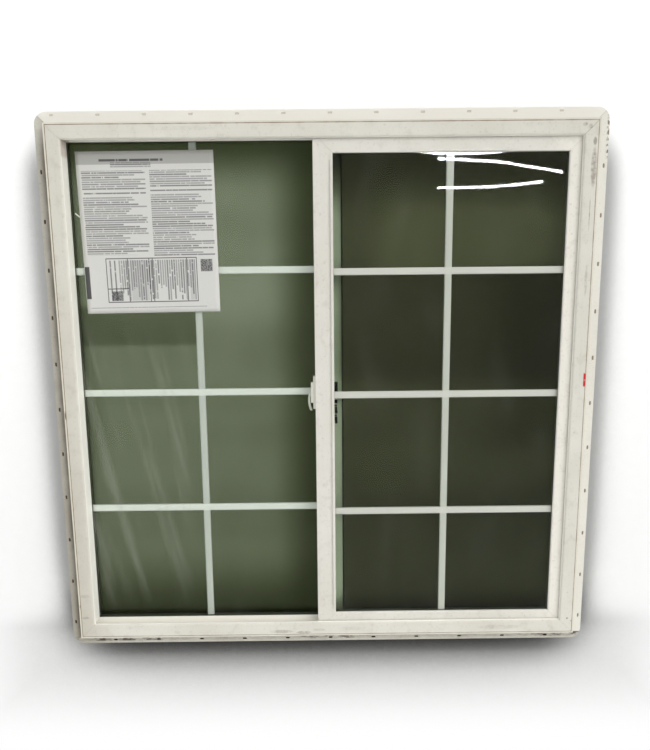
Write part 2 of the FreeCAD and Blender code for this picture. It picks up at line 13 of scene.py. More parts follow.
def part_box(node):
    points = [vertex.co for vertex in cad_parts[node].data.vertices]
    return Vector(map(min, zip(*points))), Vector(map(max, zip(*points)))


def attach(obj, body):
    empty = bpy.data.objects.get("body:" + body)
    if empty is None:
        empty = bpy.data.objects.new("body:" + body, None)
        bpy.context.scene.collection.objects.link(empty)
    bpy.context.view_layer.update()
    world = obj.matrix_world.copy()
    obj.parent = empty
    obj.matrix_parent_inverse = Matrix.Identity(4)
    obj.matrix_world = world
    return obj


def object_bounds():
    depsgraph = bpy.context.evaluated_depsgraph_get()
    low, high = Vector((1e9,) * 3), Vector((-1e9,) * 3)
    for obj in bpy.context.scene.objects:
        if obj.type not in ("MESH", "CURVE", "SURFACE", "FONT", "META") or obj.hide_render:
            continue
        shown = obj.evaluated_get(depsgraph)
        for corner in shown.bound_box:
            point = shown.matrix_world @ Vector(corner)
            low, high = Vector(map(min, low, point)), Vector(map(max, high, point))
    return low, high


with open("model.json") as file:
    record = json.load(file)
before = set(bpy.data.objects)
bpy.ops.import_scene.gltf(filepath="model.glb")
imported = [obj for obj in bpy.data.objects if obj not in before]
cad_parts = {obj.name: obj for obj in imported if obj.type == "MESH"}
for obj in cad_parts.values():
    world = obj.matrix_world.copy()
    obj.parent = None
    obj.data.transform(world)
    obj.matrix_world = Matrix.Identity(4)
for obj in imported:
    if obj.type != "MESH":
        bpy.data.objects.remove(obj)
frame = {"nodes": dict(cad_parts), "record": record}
cad_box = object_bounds()
nodes = frame["nodes"]
MM = 0.001
WHITE = (1.0, 1.0, 1.0, 1.0)

# Middles and half sizes as x and z, seen from the room
FRAME_MIDDLE = (0.0, 0.61069)
FRAME_HALF = (0.60325, 0.60325)
FIXED_MIDDLE = (-0.290425, 0.61069)
SASH_MIDDLE = (0.281575, 0.60514)
SASH_HALF = (0.303675, 0.58530)
FIN_HALF = 0.630
GRILLE_HALF_BAR, GRILLE_PITCH = 0.0080, 0.2845

# Depths: where the frame's room face, with its soil and painted light, ends, and the two sides of the nail fin
ROOM_FACE_END = (-0.0225, -0.0215)
FIN_SIDES = (-0.0006, 0.0030)


def linear(red, green, blue):
    """A colour of 0 to 255 steps as the linear colour that a shader takes."""
    steps = [step / 255 for step in (red, green, blue)]
    light = [step / 12.92 if step <= 0.04045 else ((step + 0.055) / 1.055) ** 2.4 for step in steps]
    return (*light, 1.0)


class Graph:
    """A node material whose parts are made by calls that hand back sockets."""

    def __init__(self, name):
        self.material = bpy.data.materials.new(name)
        self.material.use_nodes = True
        self.tree = self.material.node_tree
        self.tree.nodes.clear()
        self.point = self.node("ShaderNodeTexCoord").outputs["Object"]
        split = self.node("ShaderNodeSeparateXYZ")
        self.feed(split.inputs[0], self.point)
        self.x, self.y, self.z = split.outputs

    def node(self, kind, **settings):
        made = self.tree.nodes.new(kind)
        for name, value in settings.items():
            setattr(made, name, value)
        return made

    def feed(self, socket, value):
        if isinstance(value, bpy.types.NodeSocket):
            self.tree.links.new(value, socket)
        else:
            socket.default_value = value

    def math(self, operation, *values, clamp=False):
        made = self.node("ShaderNodeMath", operation=operation, use_clamp=clamp)
        for socket, value in zip(made.inputs, values):
            self.feed(socket, value)
        return made.outputs[0]

    def add(self, *values):
        total = values[0]
        for value in values[1:]:
            total = self.math("ADD", total, value)
        return total

    def times(self, *values):
        product = values[0]
        for value in values[1:]:
            product = self.math("MULTIPLY", product, value)
        return product

    def most(self, *values):
        largest = values[0]
        for value in values[1:]:
            largest = self.math("MAXIMUM", largest, value)
        return largest

    def away(self, value, middle):
        return self.math("ABSOLUTE", self.math("SUBTRACT", value, middle))

    def step(self, value, low, high, start=0.0, end=1.0):
        """A smooth step from start to end as value goes from low to high."""
        made = self.node("ShaderNodeMapRange", interpolation_type="SMOOTHSTEP")
        sockets = ("Value", "From Min", "From Max", "To Min", "To Max")
        for name, number in zip(sockets, (value, low, high, start, end)):
            self.feed(made.inputs[name], number)
        return made.outputs[0]

    def between(self, value, low, high, soft):
        """1 where value lies between two limits, with soft sides."""
        rise = self.step(value, low - soft, low)
        fall = self.step(value, high, high + soft, 1.0, 0.0)
        return self.times(rise, fall)

    def stretched(self, stretch):
        mapping = self.node("ShaderNodeMapping")
        self.feed(mapping.inputs["Vector"], self.point)
        mapping.inputs["Scale"].default_value = stretch
        return mapping.outputs[0]

    def noise(self, scale, detail=3.0, roughness=0.55, stretch=None, shift=0.0, spot=None):
        """Noise at the object's own point, which stretch scales, or at another spot."""
        made = self.node("ShaderNodeTexNoise", noise_dimensions="4D")
        if spot is None:
            spot = self.point if stretch is None else self.stretched(stretch)
        self.feed(made.inputs["Vector"], spot)
        made.inputs["W"].default_value = shift
        made.inputs["Scale"].default_value = scale
        made.inputs["Detail"].default_value = detail
        made.inputs["Roughness"].default_value = roughness
        return made.outputs[0]

    def mix(self, factor, first, second):
        """One colour mixed into another; the colour sockets of the node are 6 and 7."""
        made = self.node("ShaderNodeMix", data_type="RGBA")
        for index, value in ((0, factor), (6, first), (7, second)):
            self.feed(made.inputs[index], value)
        return made.outputs[2]

    def vector(self, x=0.0, y=0.0, z=0.0):
        made = self.node("ShaderNodeCombineXYZ")
        for socket, value in zip(made.inputs, (x, y, z)):
            self.feed(socket, value)
        return made.outputs[0]

    def shade(self, distance, samples):
        """How open a point is to its surroundings within a distance: 1 in the open, less in a corner."""
        made = self.node("ShaderNodeAmbientOcclusion", samples=samples)
        made.inputs["Distance"].default_value = distance
        return made.outputs["AO"]

    def rounded(self, radius):
        made = self.node("ShaderNodeBevel", samples=4)
        made.inputs["Radius"].default_value = radius
        return made.outputs[0]

    def bump(self, height, strength, distance, normal=None):
        made = self.node("ShaderNodeBump")
        made.inputs["Strength"].default_value = strength
        made.inputs["Distance"].default_value = distance
        self.feed(made.inputs["Height"], height)
        if normal is not None:
            self.feed(made.inputs["Normal"], normal)
        return made.outputs[0]

    def shader(self, kind, **inputs):
        made = self.node(kind)
        for name, value in inputs.items():
            self.feed(made.inputs[name.replace("_", " ").title().replace("Ior", "IOR")], value)
        return made.outputs[0]

    def blend(self, factor, first, second):
        made = self.node("ShaderNodeMixShader")
        for socket, value in zip(made.inputs, (factor, first, second)):
            self.feed(socket, value)
        return made.outputs[0]

    def finish(self, surface):
        self.feed(self.node("ShaderNodeOutputMaterial").inputs["Surface"], surface)
        return self.material


# Vinyl of the frame and sash
# Colours laid over the vinyl: real soil, and painted light and shade where the comments say so
OVERLAYS = {
    "mottle": (168, 162, 148),
    "speckle": (150, 142, 126),
    "drawn": (120, 115, 105),
    "seam": (112, 104, 92),
    "weld": (170, 164, 152),
    # corner: soil and painted shade in corners and creases
    "corner": (116, 98, 78),
    "left_darkening": (168, 160, 142),
    "scuff": (106, 91, 76),
    "painted_light_stile": (241, 238, 228),
    "painted_light_strip": (240, 236, 218),
    "painted_light_recess": (252, 250, 242),
    "lighter_fin": (243, 240, 232),
    "painted_head_shadow": (168, 140, 122),
    "step_dirt_and_shade": (138, 118, 92),
    # film: dirt with painted shade on the fins
    "film_and_painted_light": (94, 82, 66),
    "specks": (74, 56, 38),
    "splash": (66, 50, 36),
    "chip": (92, 66, 42),
    "red_mark": (196, 30, 32),
}


def overlaid_with(graph, colour, kind, share):
    """The colour with a share of one kind of soil, or of painted light or shade, over it."""
    return graph.mix(share, colour, linear(*OVERLAYS[kind]))


def room_face(graph):
    """1 on the frame's room face and 0 behind it."""
    return graph.step(graph.y, *ROOM_FACE_END, 1.0, 0.0)


def inset(graph, middle, half):
    """How far a point lies inside the sides and inside the ends of a rectangular frame."""
    across = graph.math("SUBTRACT", half[0], graph.away(graph.x, middle[0]))
    along = graph.math("SUBTRACT", half[1], graph.away(graph.z, middle[1]))
    return across, along


def smudge(graph, x, z, half_width, half_height, grain):
    """A patch round a point of the room face, broken up by grain."""
    dx = graph.math("DIVIDE", graph.math("SUBTRACT", graph.x, x * MM), half_width * MM)
    dz = graph.math("DIVIDE", graph.math("SUBTRACT", graph.z, z * MM), half_height * MM)
    reach = graph.math("SQRT", graph.add(graph.times(dx, dx), graph.times(dz, dz)))
    return graph.times(graph.step(reach, 0.55, 1.0, 1.0, 0.0), grain)


# Scuffs on the room face: x, z, half width and half height in millimetres, and how dark each one is
SCUFFS = (
    (568, 1200, 7, 5, 0.55),
    (580, 1196, 6, 6, 0.60),
    (591, 1165, 5, 11, 0.60),
    (591, 1110, 8, 50, 0.58),
    (587, 1010, 1.3, 44, 0.60),
    (587, 865, 4, 44, 0.30),
    (-112, 20, 34, 6, 0.40),
    (-58, 17, 22, 5, 0.50),
    (-20, 24, 18, 4, 0.30),
    (60, 27, 40, 6, 0.14),
    (420, 26, 70, 7, 0.16),
    (-588, 62, 12, 4, 0.34),
    (-586, 118, 14, 5, 0.22),
    (-601, 568, 1.6, 15, 0.90),
    (-600, 90, 2.2, 6, 0.60),
    (-300, 1199, 80, 6, 0.10),
    (586.5, 47, 3.2, 3.2, 0.85),
    (596, 40, 2.5, 2.5, 0.60),
)


def vinyl(name, tint, worn, middle, half, seams, outer):
    """Extruded vinyl with faint welded mitres and painted shade in its corners; outer adds the frame's edge strip,
    scuffs, soil and painted light and shade, and the sash gets a right stile lightened by painted light.
    """
    graph = Graph(name)
    across, along = inset(graph, middle, half)
    seam = graph.math("SUBTRACT", across, along)
    upright = graph.step(seam, -0.001, 0.001, 1.0, 0.0)
    gap = graph.math("ABSOLUTE", seam)
    broken = graph.step(graph.noise(22.0, shift=11.0), 0.34, 0.62, 0.25, 1.0)
    strength = seams
    if outer:
        top_right = graph.times(graph.step(graph.x, 0.40, 0.50), graph.step(graph.z, 0.9, 1.0))
        strength = graph.add(graph.times(top_right, 0.75), seams)
    line = graph.times(graph.step(gap, 0.0002, 0.0010, 1.0, 0.0), broken, strength)
    weld = graph.step(gap, 0.0015, 0.0050, 1.0, 0.0)
    cloudy = graph.noise(5.0, shift=1.0)
    mottle = graph.noise(34.0, detail=5.0, roughness=0.62, shift=12.0)
    speckle = graph.noise(160.0, detail=4.0, shift=2.0)
    drawn_up = graph.noise(260.0, stretch=(1.0, 1.0, 0.02), shift=3.0)
    drawn_across = graph.noise(260.0, stretch=(0.02, 1.0, 1.0), shift=4.0)
    drawn = graph.add(
        graph.times(drawn_up, upright),
        graph.times(drawn_across, graph.math("SUBTRACT", 1.0, upright)),
    )
    grain = graph.step(graph.noise(75.0, detail=6.0, roughness=0.7, shift=5.0), 0.38, 0.60, 0.25, 1.0)
    fine = graph.step(graph.noise(420.0, detail=2.0, shift=6.0), 0.60, 0.70)

    colour = graph.mix(graph.step(cloudy, 0.3, 0.7), linear(*tint), linear(*worn))
    if not outer:
        # Painted light: the sash's right stile is lightened where the jamb shades it
        colour = overlaid_with(graph, colour, "painted_light_stile", graph.step(graph.x, 0.48, 0.56, 0.0, 0.75))
    colour = overlaid_with(graph, colour, "mottle", graph.times(graph.step(mottle, 0.50, 0.74), 0.26))
    colour = overlaid_with(graph, colour, "speckle", graph.times(graph.step(speckle, 0.56, 0.72), 0.25))
    colour = overlaid_with(graph, colour, "drawn", graph.times(graph.step(drawn, 0.52, 0.75), 0.05))
    colour = overlaid_with(graph, colour, "seam", line)
    colour = overlaid_with(graph, colour, "weld", graph.times(weld, 0.06))
    # Partly soil, partly painted shade: the occlusion node darkens corners and creases with a brown tint
    occlusion_shade = graph.step(graph.shade(0.004, 4), 0.20, 0.75, 1.0, 0.0)
    colour = overlaid_with(graph, colour, "corner", graph.times(occlusion_shade, graph.step(grain, 0.0, 1.0, 0.12, 0.30)))

    if outer:
        # The left side of the frame is made darker, most of all low down
        left_side = graph.step(graph.x, -0.62, -0.50, 1.0, 0.0)
        colour = overlaid_with(
            graph, colour, "left_darkening", graph.times(left_side, graph.step(graph.z, 0.10, 1.10, 0.46, 0.12))
        )
        colour = edge_strip(graph, colour, across, along, mottle)
        on_face = room_face(graph)
        for x, z, half_width, half_height, depth in SCUFFS:
            patch = graph.times(smudge(graph, x, z, half_width, half_height, grain), depth, on_face)
            colour = overlaid_with(graph, colour, "scuff", patch)
        colour = fin_soil(graph, colour, upright, fine, speckle)

    roughness = graph.step(cloudy, 0.3, 0.7, 0.34, 0.46)
    height = graph.add(
        graph.times(drawn, 0.35),
        graph.times(speckle, 0.15),
        graph.times(line, -1.2),
        graph.times(weld, 0.25),
    )
    normal = graph.bump(height, 0.25, 0.0004, graph.rounded(0.0012))
    surface = graph.shader(
        "ShaderNodeBsdfPrincipled",
        base_color=colour,
        roughness=roughness,
        normal=normal,
        specular_ior_level=0.45,
    )
    return graph.finish(surface)


def edge_strip(graph, colour, across, along, mottle):
    """Painted light makes the frame's narrow outer strip and its recess lighter than the face; the step gets dirt and
    painted shade.

    A painted shadow of the head marks the top left of the recess.
    """
    inside = graph.math("MINIMUM", across, along)
    on_face = room_face(graph)
    strip = graph.times(graph.between(inside, 0.0003, 0.0034, 0.0004), on_face)
    # Painted highlight: the outer strip is lightened, more on the left than on the right
    colour = overlaid_with(
        graph, colour, "painted_light_strip", graph.times(strip, graph.step(graph.x, -0.60, -0.55, 0.70, 0.30))
    )
    # Painted light: the recess between the face and the glass is lightened
    recess = graph.times(
        graph.step(inside, 0.0050, 0.0070), graph.between(graph.y, ROOM_FACE_END[0], 0.0130, 0.0010)
    )
    colour = overlaid_with(graph, colour, "painted_light_recess", graph.times(recess, 0.85))
    # Painted shadow of the head on the top of the left recess, broken up by mottling
    painted_head_shadow = graph.times(
        recess,
        graph.step(graph.x, -0.561, -0.559, 1.0, 0.0),
        graph.step(graph.z, 1.138, 1.152),
        graph.step(mottle, 0.3, 0.6, 0.4, 1.0),
    )
    colour = overlaid_with(graph, colour, "painted_head_shadow", graph.times(painted_head_shadow, 0.55))
    # Dirt and painted shade in the step between the face and the outer strip
    step_dirt_and_shade = graph.times(
        graph.between(inside, 0.0037, 0.0053, 0.0008), on_face, graph.step(mottle, 0.30, 0.62, 0.50, 0.90)
    )
    return overlaid_with(graph, colour, "step_dirt_and_shade", step_dirt_and_shade)


def fin_soil(graph, colour, upright, fine, speckle):
    """Soil and painted shade on the nail fin: a lighter head and right side, a left side darkened by dirt and painted
    shade next to the frame, and a sill darkened by dirt and painted shade.

    A red mark lies on the right jamb beside it.
    """
    on_fin = graph.between(graph.y, *FIN_SIDES, 0.0004)
    level = graph.math("SUBTRACT", 1.0, upright)
    left = graph.times(graph.step(graph.x, -0.6045, -0.6030, 1.0, 0.0), upright)
    right = graph.times(graph.step(graph.x, 0.6030, 0.6045), upright)
    above = graph.times(graph.step(graph.z, 1.2135, 1.2150), level)
    below = graph.times(graph.step(graph.z, 0.0060, 0.0075, 1.0, 0.0), level)
    worn = graph.step(graph.noise(14.0, shift=7.0), 0.30, 0.62, 0.70, 1.0)
    # The head fin and the right fin are made lighter
    lighter_share = graph.most(graph.times(above, 0.80), graph.times(right, 0.45))
    colour = overlaid_with(graph, colour, "lighter_fin", graph.times(on_fin, lighter_share))
    # Dirt and painted shade on the left fin, darkest next to the frame and low down
    left_dirt_and_shade = graph.times(
        left, graph.step(graph.x, -0.6270, -0.6080, 0.30, 1.0), graph.step(graph.z, 1.150, 1.215, 1.0, 0.30)
    )
    film_and_painted_light = graph.times(on_fin, graph.most(left_dirt_and_shade, graph.times(below, 0.30)), worn)
    colour = overlaid_with(graph, colour, "film_and_painted_light", film_and_painted_light)
    specks = graph.times(on_fin, graph.most(left, below, graph.times(right, 0.6)), fine, 0.55)
    colour = overlaid_with(graph, colour, "specks", specks)
    smears_and_sheen = graph.noise(110.0, detail=5.0, roughness=0.7, stretch=(0.30, 1.0, 1.0), shift=13.0)
    low_dirt = graph.times(
        on_fin,
        graph.between(graph.z, -0.0125, -0.0040, 0.0030),
        graph.most(
            graph.between(graph.x, -0.560, -0.430, 0.05),
            graph.between(graph.x, -0.050, 0.060, 0.04),
            graph.step(graph.x, 0.42, 0.56),
            0.22,
        ),
        graph.step(smears_and_sheen, 0.42, 0.61),
    )
    colour = overlaid_with(graph, colour, "splash", graph.times(low_dirt, 0.95))
    chipped = graph.times(
        graph.step(graph.x, 0.6235, 0.6285),
        graph.between(graph.z, 1.140, 1.222, 0.012),
        graph.step(speckle, 0.47, 0.54),
    )
    colour = overlaid_with(graph, colour, "chip", graph.times(chipped, 0.85))
    red = graph.times(
        graph.between(graph.x, 0.5940, 0.5992, 0.0006),
        graph.between(graph.z, 0.626, 0.652, 0.005),
        room_face(graph),
        graph.step(speckle, 0.34, 0.44),
    )
    return overlaid_with(graph, colour, "red_mark", red)


# Other finishes
def painted(name, tint, worn, roughness, radius):
    """A painted or moulded surface with faint mottling, soft edges and a little grain."""
    graph = Graph(name)
    cloudy = graph.noise(9.0, shift=1.5)
    grain = graph.noise(220.0, detail=3.0, shift=2.5)
    colour = graph.mix(graph.step(cloudy, 0.3, 0.7), linear(*tint), linear(*worn))
    darker = linear(*[0.7 * step for step in worn])
    colour = graph.mix(graph.times(graph.step(grain, 0.55, 0.75), 0.18), colour, darker)
    normal = graph.bump(grain, 0.12, 0.0003, graph.rounded(radius))
    surface = graph.shader(
        "ShaderNodeBsdfPrincipled",
        base_color=colour,
        roughness=graph.step(grain, 0.3, 0.7, roughness - 0.06, roughness + 0.08),
        normal=normal,
        specular_ior_level=0.4,
    )
    return graph.finish(surface)


def grille_paint(name, level_tint, upright_painted_shade, middle):
    """White enamel on the flat grille bars, with painted shade making the upright bar greyer than the level ones."""
    graph = Graph(name)
    edge = (GRILLE_HALF_BAR, GRILLE_HALF_BAR + 0.0006)
    rows = [graph.away(graph.z, middle[1] + GRILLE_PITCH * row) for row in (-1, 0, 1)]
    level = graph.most(*[graph.step(row, *edge, 1.0, 0.0) for row in rows])
    cloudy = graph.noise(6.0, shift=1.0)
    speckle = graph.noise(180.0, detail=3.0, shift=2.0)
    colour = graph.mix(level, linear(*upright_painted_shade), linear(*level_tint))
    colour = graph.mix(graph.times(graph.step(cloudy, 0.35, 0.70), 0.10), colour, linear(186, 190, 182))
    colour = graph.mix(graph.times(graph.step(speckle, 0.58, 0.72), 0.10), colour, linear(160, 162, 152))
    surface = graph.shader(
        "ShaderNodeBsdfPrincipled",
        base_color=colour,
        roughness=graph.step(cloudy, 0.3, 0.7, 0.34, 0.44),
        normal=graph.rounded(0.0055),
        specular_ior_level=0.4,
    )
    return graph.finish(surface)


def spacer_metal():
    """Mill-finish spacer with a fine row of breather holes."""
    hole_pitch = 0.004
    graph = Graph("spacer_metal")
    along = graph.math("FRACT", graph.math("DIVIDE", graph.add(graph.x, graph.z), hole_pitch))
    holes = graph.between(along, 0.42, 0.58, 0.06)
    brushed = graph.noise(300.0, stretch=(0.05, 1.0, 0.05), shift=1.0)
    colour = graph.mix(graph.step(brushed, 0.35, 0.65), linear(70, 74, 62), linear(92, 96, 82))
    colour = graph.mix(graph.times(holes, 0.5), colour, linear(40, 42, 36))
    surface = graph.shader(
        "ShaderNodeBsdfPrincipled",
        base_color=colour,
        metallic=0.4,
        roughness=graph.step(brushed, 0.3, 0.7, 0.32, 0.48),
        normal=graph.rounded(0.0005),
    )
    return graph.finish(surface)


def pane(name, tint, deep, outward, haze, lightness, smears_and_sheen=None):
    """Thin glass: light goes straight through, tinted at each of its two faces, and the outward face mirrors.

    outward is -1 for a pane whose room side mirrors and 1 for one whose weather side does.
    lightness takes the graph and hands back how light the view through the pane is at each point, which paints shade
    into the tint.
    smears takes the graph and hands back how much dust and painted reflection lies on the pane beyond the even haze.
    """
    graph = Graph(name)
    bands = graph.noise(1.0, detail=2.0, stretch=(0.35, 1.0, 4.2), shift=3.3)
    clouds = graph.noise(3.0, detail=4.0, shift=5.1)
    uneven = graph.step(graph.add(graph.times(bands, 0.6), graph.times(clouds, 0.4)), 0.34, 0.66, 0.72, 1.0)
    share = graph.times(lightness(graph), uneven)
    clear = graph.shader("ShaderNodeBsdfTransparent", color=graph.mix(share, deep, tint))
    wipes = graph.noise(16.0, detail=5.0, roughness=0.65, stretch=(1.0, 1.0, 0.35), shift=8.0)
    specks = graph.step(graph.noise(240.0, detail=1.0, shift=9.0), 0.70, 0.76)
    film_and_painted_light = graph.add(
        graph.times(graph.step(wipes, 0.48, 0.75), haze),
        graph.times(specks, haze * 2.5),
    )
    # Painted reflection, where a pane has one, is laid on as more of the dust
    if smears_and_sheen is not None:
        film_and_painted_light = graph.most(film_and_painted_light, smears_and_sheen(graph))
    dust = graph.shader("ShaderNodeBsdfDiffuse", color=linear(214, 216, 206))
    body = graph.blend(film_and_painted_light, clear, dust)
    facing = graph.node("ShaderNodeSeparateXYZ")
    graph.feed(facing.inputs[0], graph.node("ShaderNodeNewGeometry").outputs["True Normal"])
    shows = graph.step(graph.times(facing.outputs[1], outward), 0.4, 0.6)
    fresnel = graph.node("ShaderNodeFresnel")
    fresnel.inputs["IOR"].default_value = 1.15
    mirror = graph.shader(
        "ShaderNodeBsdfGlossy",
        color=WHITE,
        roughness=graph.step(wipes, 0.4, 0.8, 0.0, 0.004),
    )
    surface = graph.blend(graph.times(fresnel.outputs[0], shows), body, mirror)
    return graph.finish(surface)


def even(graph):
    """Clear glass, a little uneven."""
    return graph.step(graph.noise(2.0, shift=15.0), 0.35, 0.65, 0.85, 1.0)


def fixed_reflection_and_flake(graph):
    """A painted reflection of slanting streaks low on the left of the fixed pane, laid on as dust, and one pale flake
    beside the paper sheet.
    """
    slanted = graph.add(graph.x, graph.times(graph.z, 0.20))
    spot = graph.vector(x=graph.times(slanted, 26.0), z=graph.times(graph.z, 1.6))
    reflection_streaks = graph.noise(1.0, detail=3.0, shift=17.0, spot=spot)
    reflection_area = graph.times(
        graph.between(graph.x, -0.56, -0.36, 0.06), graph.between(graph.z, 0.18, 0.66, 0.16)
    )
    slope = graph.add(graph.z, graph.times(graph.math("ADD", graph.x, 0.5530), 0.8))
    flake = graph.times(
        graph.between(graph.x, -0.5580, -0.5480, 0.0006), graph.between(slope, 1.0194, 1.0218, 0.0006)
    )
    return graph.most(graph.times(graph.step(reflection_streaks, 0.46, 0.70), reflection_area, 0.058), flake)


def fixed_painted_shade(graph):
    """Painted shade in the view through the fixed half: dim along the head, the meeting rail and the sill, and a
    painted shadow under the sheet.
    """
    head = graph.step(graph.z, 1.075, 1.185, 1.0, 0.20)
    rail = graph.step(graph.x, -0.140, -0.020, 1.0, 0.22)
    sill = graph.step(graph.z, 0.035, 0.245, 0.16, 0.96)
    left = graph.step(graph.x, -0.580, -0.500, 0.80, 1.0)
    lower = graph.step(graph.z, 0.74, 0.86, 0.86, 1.0)
    under = graph.times(
        graph.between(graph.z, 0.735, 0.800, 0.025), graph.step(graph.x, -0.294, -0.286, 1.0, 0.0)
    )
    return graph.times(head, rail, sill, left, lower, graph.step(under, 0.0, 1.0, 1.0, 0.62))


def sash_painted_light(graph):
    """Painted light and shade in the view through the sash: painted shade under the top rail, in bands across the
    upper panes and at the very bottom, and painted light in one upper patch, beside the screen's left bar and low
    down.
    """
    top = graph.step(graph.z, 0.980, 1.150, 1.0, 0.10)
    patch = graph.times(graph.step(graph.z, 0.885, 0.905), graph.between(graph.x, 0.18, 0.46, 0.12))
    lower = graph.step(graph.z, 0.06, 0.13, 0.45, 1.0)
    corner = graph.times(graph.step(graph.x, 0.330, 0.470), graph.between(graph.z, 0.52, 0.86, 0.10))
    second = graph.between(graph.z, 0.66, 0.87, 0.05)
    beside = graph.step(graph.x, 0.028, 0.050, 0.60, 0.0)
    low = graph.step(graph.z, 0.25, 0.35, 0.12, 0.0)
    base = graph.add(
        graph.times(patch, 0.56),
        graph.times(corner, -0.30),
        graph.times(second, -0.42),
        beside,
        low,
        0.84,
    )
    return graph.times(top, lower, base)


def mesh_cloth():
    """Woven insect mesh: dark threads with open holes between them."""
    graph = Graph("screen_mesh")
    pitch = 0.0013

    def thread(value):
        place = graph.math("FRACT", graph.math("DIVIDE", value, pitch))
        return graph.step(graph.away(place, 0.5), 0.23, 0.29, 1.0, 0.0)

    across = thread(graph.x)
    upright = thread(graph.z)
    cover = graph.most(across, upright)
    shade = graph.noise(2.4, detail=3.0, stretch=(0.5, 1.0, 1.6), shift=4.0)
    colour = graph.mix(graph.step(shade, 0.35, 0.65), linear(30, 31, 25), linear(58, 60, 48))
    weave = graph.add(graph.times(across, 0.5), graph.times(upright, 0.5))
    cloth = graph.shader(
        "ShaderNodeBsdfPrincipled",
        base_color=colour,
        roughness=0.75,
        normal=graph.bump(weave, 0.5, 0.0002),
    )
    hole = graph.shader("ShaderNodeBsdfTransparent", color=(0.62, 0.63, 0.46, 1.0))
    return graph.finish(graph.blend(cover, hole, cloth))


def pile_brush():
    """Short dense fibres of the brush seals."""
    graph = Graph("brush_pile")
    fibres = graph.noise(900.0, stretch=(1.0, 0.1, 1.0), shift=1.0)
    colour = graph.mix(graph.step(fibres, 0.35, 0.65), linear(70, 70, 68), linear(142, 142, 138))
    surface = graph.shader(
        "ShaderNodeBsdfPrincipled",
        base_color=colour,
        roughness=0.9,
        normal=graph.bump(fibres, 0.8, 0.0006),
    )
    return graph.finish(surface)


FINISHES = {
    "frame_vinyl": vinyl("frame_vinyl", (224, 222, 212), (214, 211, 200), FRAME_MIDDLE, FRAME_HALF, 0.10, True),
    "sash_vinyl": vinyl("sash_vinyl", (226, 224, 216), (219, 216, 207), SASH_MIDDLE, SASH_HALF, 0.12, False),
    "glass_inner": pane(
        "glass_inner", (0.980, 0.990, 0.980, 1.0), (0.960, 0.975, 0.960, 1.0), -1.0, 0.012, even, fixed_reflection_and_flake
    ),
    "glass_outer": pane(
        "glass_outer", (0.452, 0.486, 0.400, 1.0), (0.098, 0.118, 0.044, 1.0), 1.0, 0.004, fixed_painted_shade
    ),
    "sash_glass": pane(
        "sash_glass", (0.820, 0.850, 0.790, 1.0), (0.400, 0.410, 0.340, 1.0), 1.0, 0.004, sash_painted_light
    ),
    "spacer_metal": spacer_metal(),
    "grille_fixed": grille_paint("grille_fixed", (220, 224, 217), (190, 194, 187), FIXED_MIDDLE),
    "grille_sash": grille_paint("grille_sash", (214, 211, 206), (198, 199, 191), SASH_MIDDLE),
    "block_rubber": painted("block_rubber", (38, 38, 38), (58, 57, 55), 0.7, 0.0008),
    "brush_pile": pile_brush(),
    "latch_white": painted("latch_white", (222, 221, 210), (208, 206, 194), 0.35, 0.0012),
    # Painted shade: the latch lever gets a greyer copy of the latch's white
    "latch_shaded": painted("latch_shaded", (182, 186, 172), (166, 170, 156), 0.45, 0.0012),
    "housing_plastic": painted("housing_plastic", (74, 74, 74), (92, 91, 88), 0.6, 0.0006),
    "roller_plastic": painted("roller_plastic", (214, 211, 202), (196, 192, 182), 0.45, 0.0006),
    "screen_bar": painted("screen_bar", (244, 247, 240), (232, 236, 228), 0.4, 0.0014),
    "screen_mesh": mesh_cloth(),
}


def finish_of(node):
    """The finish of one solid: its slot in the record, or one of the scene's own."""
    special = {
        "sash_glass_outer": "sash_glass",
        "latch_lever": "latch_shaded",
        "fixed_grille": "grille_fixed",
        "sash_grille": "grille_sash",
    }
    if node in special:
        return special[node]
    if node.endswith(("glass_inner", "glass_outer")):
        return "glass_" + node.rsplit("_", 1)[1]
    slots = {part["node"]: part["material_slot"] for part in frame["record"]["subparts"]}
    return slots[node]


for name, item in nodes.items():
    item.data.materials.clear()
    item.data.materials.append(FINISHES[finish_of(name)])


# Pieces that the solids leave to the looks
def new_piece(name, mesh_data, material):
    item = bpy.data.objects.new(name, mesh_data)
    bpy.context.scene.collection.objects.link(item)
    item.data.materials.append(material)
    return item


